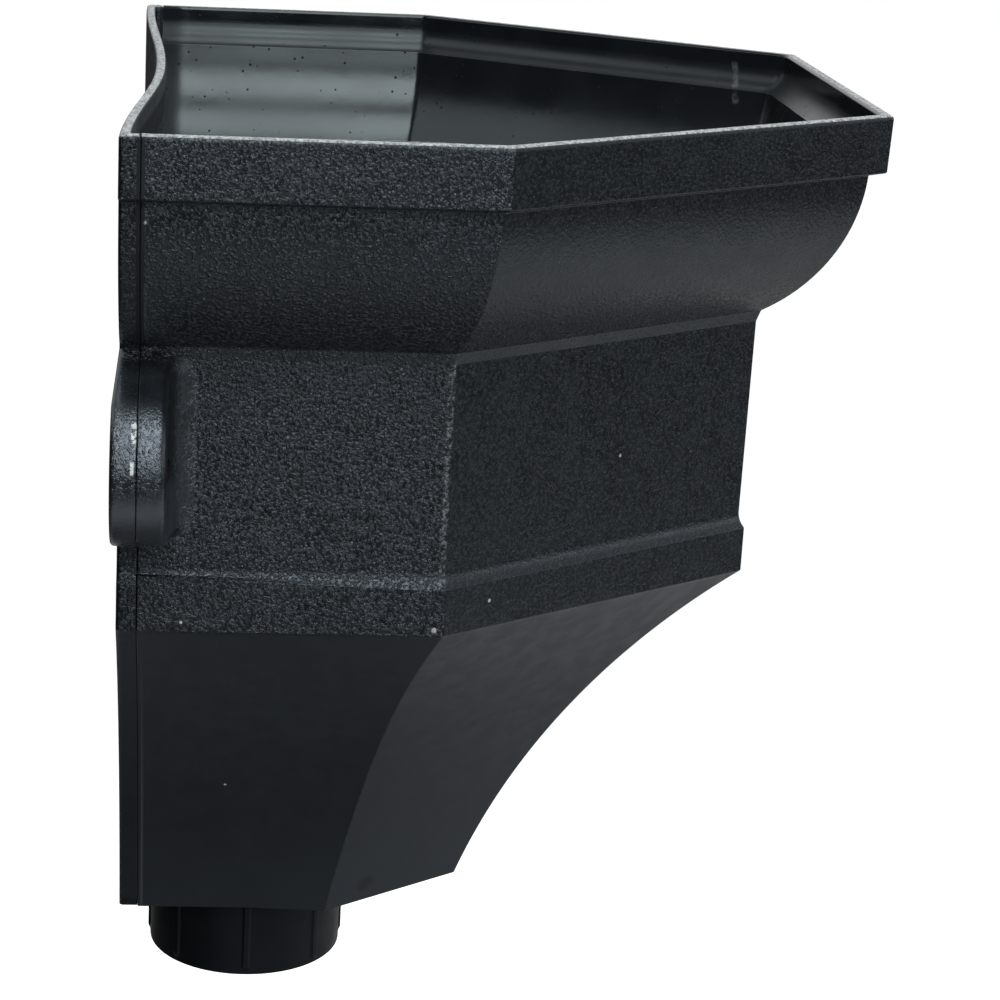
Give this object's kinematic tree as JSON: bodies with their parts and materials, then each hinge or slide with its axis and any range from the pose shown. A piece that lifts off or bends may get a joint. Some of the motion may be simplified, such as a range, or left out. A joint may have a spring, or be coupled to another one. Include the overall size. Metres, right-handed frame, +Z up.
{
  "type": "downpipe hopper head",
  "caption": "Open-topped downpipe hopper head with a stepped rim, slanted front corners, a curved funnel base, side fixing ears and a round ribbed outlet.",
  "frame": {"origin": "middle of the bounding box in X and Y, at the lower end of the outlet", "axes": "+X across the width, -Y towards the front, +Y towards the wall, +Z up"},
  "size_m": [0.29, 0.2164, 0.287],
  "materials": {
    "body_plastic": "grained, near-black",
    "back_plastic": "near-black"
  },
  "bodies": {
    "root": {"front_body": "body_plastic", "back_plate": "back_plastic"}
  },
  "joints": []
}
